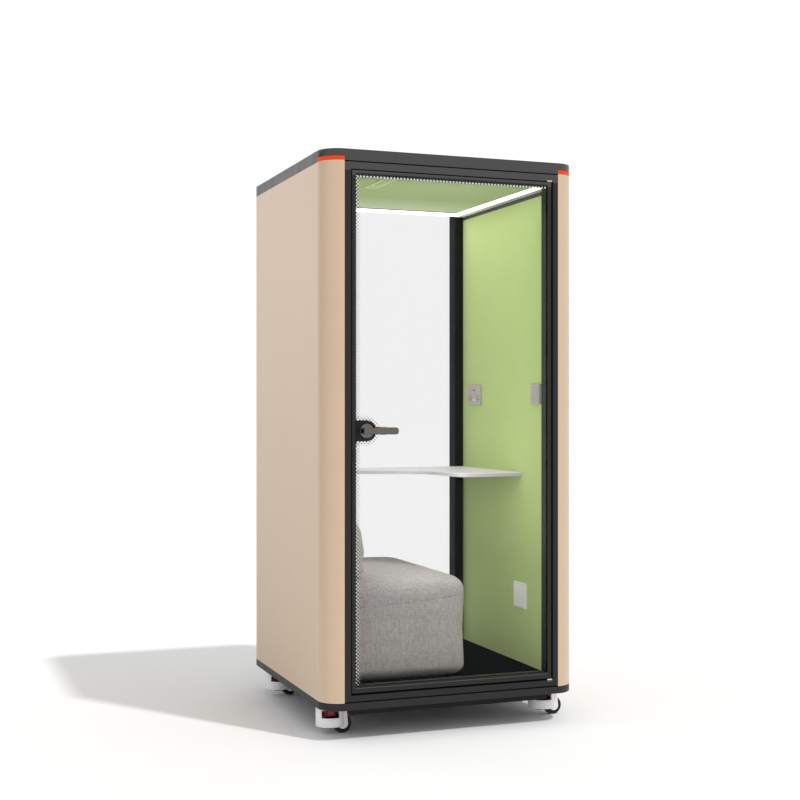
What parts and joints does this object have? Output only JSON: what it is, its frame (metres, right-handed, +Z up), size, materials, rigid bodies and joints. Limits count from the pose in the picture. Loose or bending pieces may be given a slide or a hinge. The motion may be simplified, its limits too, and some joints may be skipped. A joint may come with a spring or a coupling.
{
  "type": "office booth",
  "caption": "Office booth on levelling casters, with a framed glass door, felt-lined walls, a corner desk, a bench seat and a lit, ventilated ceiling.",
  "frame": {"origin": "on the floor, under the middle of the cabin", "axes": "+X to the right and +Y to the rear as a visitor faces the door, +Z up"},
  "size_m": [1.1005, 1.15, 2.3],
  "materials": {
    "dark_frame": "satin powder coat",
    "dark_steel": "satin powder coat",
    "beige_post": "matt powder coat",
    "beige_panel": "matt laminate on board",
    "core": "mineral felt",
    "green_felt": "needled felt",
    "diffuser": "opal",
    "orange_lens": "translucent",
    "board": "raw board",
    "carpet": "short pile",
    "clear_glass": "clear",
    "desk_white": "matt laminate",
    "grey_cloth": "woven",
    "steel": "satin",
    "bush": "turned",
    "black_plastic": "fine grain",
    "black_lock": "satin",
    "warm_grey_plastic": "satin",
    "white_plastic": "satin",
    "red_plastic": "moulded",
    "wheel_plastic": "moulded nylon",
    "foot_rubber": "moulded",
    "plated_steel": "zinc plated"
  },
  "bodies": {
    "cabin": {"back_cushion": "grey_cloth", "base_pan": "dark_steel", "base_tray": "dark_steel", "caster_plates": "plated_steel", "ceiling_panel": "green_felt", "ceiling_vent": "black_plastic", "corner_lens_left": "orange_lens", "corner_lens_right": "orange_lens", "corner_post_front_left": "beige_post", "corner_post_front_right": "beige_post", "corner_post_rear_left": "beige_post", "corner_post_rear_right": "beige_post", "desk_cleats": "dark_steel", "desk_top": "desk_white", "fan_housing": "black_plastic", "felt_panel_left": "green_felt", "felt_panel_right": "green_felt", "floor_board": "board", "floor_carpet": "carpet", "front_frame": "dark_frame", "light_diffuser": "diffuser", "pivot_blocks": "steel", "rear_frame": "dark_frame", "rear_glass": "clear_glass", "roof_cap": "dark_frame", "seat_cushion": "grey_cloth", "side_panel_left": "beige_panel", "side_panel_right": "beige_panel", "socket_plate": "warm_grey_plastic", "switch_plate": "warm_grey_plastic", "wall_cores": "core", "wall_grille": "white_plastic", "wall_top_rails": "dark_frame"},
    "door": {"door_leaf_frame": "dark_frame", "door_glass": "clear_glass", "lock_case": "black_lock", "lock_roses": "steel", "pivot_bushes": "bush"},
    "handle": {"lever_outer": "steel", "lever_inner": "steel"},
    "latch": {"latch_bolt": "steel"},
    "fan": {"fan_rotor": "black_plastic"},
    "rocker": {"switch_rocker": "warm_grey_plastic"},
    "caster_front_left": {"caster_housing_front_left": "white_plastic"},
    "wheel_front_left": {"caster_wheel_front_left": "wheel_plastic"},
    "dial_front_left": {"caster_dial_front_left": "red_plastic"},
    "foot_front_left": {"caster_foot_front_left": "foot_rubber"},
    "caster_front_right": {"caster_housing_front_right": "white_plastic"},
    "wheel_front_right": {"caster_wheel_front_right": "wheel_plastic"},
    "dial_front_right": {"caster_dial_front_right": "red_plastic"},
    "foot_front_right": {"caster_foot_front_right": "foot_rubber"},
    "caster_rear_left": {"caster_housing_rear_left": "white_plastic"},
    "wheel_rear_left": {"caster_wheel_rear_left": "wheel_plastic"},
    "dial_rear_left": {"caster_dial_rear_left": "red_plastic"},
    "foot_rear_left": {"caster_foot_rear_left": "foot_rubber"},
    "caster_rear_right": {"caster_housing_rear_right": "white_plastic"},
    "wheel_rear_right": {"caster_wheel_rear_right": "wheel_plastic"},
    "dial_rear_right": {"caster_dial_rear_right": "red_plastic"},
    "foot_rear_right": {"caster_foot_rear_right": "foot_rubber"}
  },
  "joints": [
    {"name": "door_swing", "type": "hinge", "parent": "cabin", "child": "door", "pos_m": [0.422, -0.541, 1.2], "axis": [0, 0, 1], "range_deg": [0, 100]},
    {"name": "lever_turn", "type": "hinge", "parent": "door", "child": "handle", "pos_m": [-0.373, -0.54, 1.206], "axis": [0, 1, 0], "range_deg": [0, 45], "stiffness_Nm_per_rad": 1.5, "springref_deg": -34.38},
    {"name": "latch_slide", "type": "slide", "parent": "door", "child": "latch", "axis": [1, 0, 0], "range_m": [0, 0.0101]},
    {"name": "fan_spin", "type": "hinge", "parent": "cabin", "child": "fan", "pos_m": [-0.236, -0.33, 2.235], "axis": [0, 0, 1], "continuous": true},
    {"name": "rocker_tilt", "type": "hinge", "parent": "cabin", "child": "rocker", "pos_m": [0.468, -0.323, 1.353], "axis": [0, 1, 0], "range_deg": [-4, 4]},
    {"name": "swivel_front_left", "type": "hinge", "parent": "cabin", "child": "caster_front_left", "pos_m": [-0.468, -0.38, 0.11], "axis": [0, 0, 1], "continuous": true},
    {"name": "roll_front_left", "type": "hinge", "parent": "caster_front_left", "child": "wheel_front_left", "pos_m": [-0.418, -0.38, 0.0375], "axis": [0, 1, 0], "continuous": true},
    {"name": "dial_turn_front_left", "type": "hinge", "parent": "caster_front_left", "child": "dial_front_left", "pos_m": [-0.468, -0.38, 0.087], "axis": [0, 0, 1], "range_deg": [0, 2520]},
    {"name": "foot_travel_front_left", "type": "slide", "parent": "caster_front_left", "child": "foot_front_left", "axis": [0, 0, -1], "range_m": [0, 0.0281]},
    {"name": "swivel_front_right", "type": "hinge", "parent": "cabin", "child": "caster_front_right", "pos_m": [0.468, -0.38, 0.11], "axis": [0, 0, 1], "continuous": true},
    {"name": "roll_front_right", "type": "hinge", "parent": "caster_front_right", "child": "wheel_front_right", "pos_m": [0.518, -0.38, 0.0375], "axis": [0, 1, 0], "continuous": true},
    {"name": "dial_turn_front_right", "type": "hinge", "parent": "caster_front_right", "child": "dial_front_right", "pos_m": [0.468, -0.38, 0.087], "axis": [0, 0, 1], "range_deg": [0, 2520]},
    {"name": "foot_travel_front_right", "type": "slide", "parent": "caster_front_right", "child": "foot_front_right", "axis": [0, 0, -1], "range_m": [0, 0.0281]},
    {"name": "swivel_rear_left", "type": "hinge", "parent": "cabin", "child": "caster_rear_left", "pos_m": [-0.468, 0.38, 0.11], "axis": [0, 0, 1], "continuous": true},
    {"name": "roll_rear_left", "type": "hinge", "parent": "caster_rear_left", "child": "wheel_rear_left", "pos_m": [-0.418, 0.38, 0.0375], "axis": [0, 1, 0], "continuous": true},
    {"name": "dial_turn_rear_left", "type": "hinge", "parent": "caster_rear_left", "child": "dial_rear_left", "pos_m": [-0.468, 0.38, 0.087], "axis": [0, 0, 1], "range_deg": [0, 2520]},
    {"name": "foot_travel_rear_left", "type": "slide", "parent": "caster_rear_left", "child": "foot_rear_left", "axis": [0, 0, -1], "range_m": [0, 0.0281]},
    {"name": "swivel_rear_right", "type": "hinge", "parent": "cabin", "child": "caster_rear_right", "pos_m": [0.468, 0.38, 0.11], "axis": [0, 0, 1], "continuous": true},
    {"name": "roll_rear_right", "type": "hinge", "parent": "caster_rear_right", "child": "wheel_rear_right", "pos_m": [0.518, 0.38, 0.0375], "axis": [0, 1, 0], "continuous": true},
    {"name": "dial_turn_rear_right", "type": "hinge", "parent": "caster_rear_right", "child": "dial_rear_right", "pos_m": [0.468, 0.38, 0.087], "axis": [0, 0, 1], "range_deg": [0, 2520]},
    {"name": "foot_travel_rear_right", "type": "slide", "parent": "caster_rear_right", "child": "foot_rear_right", "axis": [0, 0, -1], "range_m": [0, 0.0281]}
  ],
  "couplings": [
    {"joint": "latch_slide", "follows": "lever_turn", "m_per_rad": 0.012732},
    {"joint": "foot_travel_front_left", "follows": "dial_turn_front_left", "m_per_rad": 0.00063662},
    {"joint": "foot_travel_front_right", "follows": "dial_turn_front_right", "m_per_rad": 0.00063662},
    {"joint": "foot_travel_rear_left", "follows": "dial_turn_rear_left", "m_per_rad": 0.00063662},
    {"joint": "foot_travel_rear_right", "follows": "dial_turn_rear_right", "m_per_rad": 0.00063662}
  ]
}
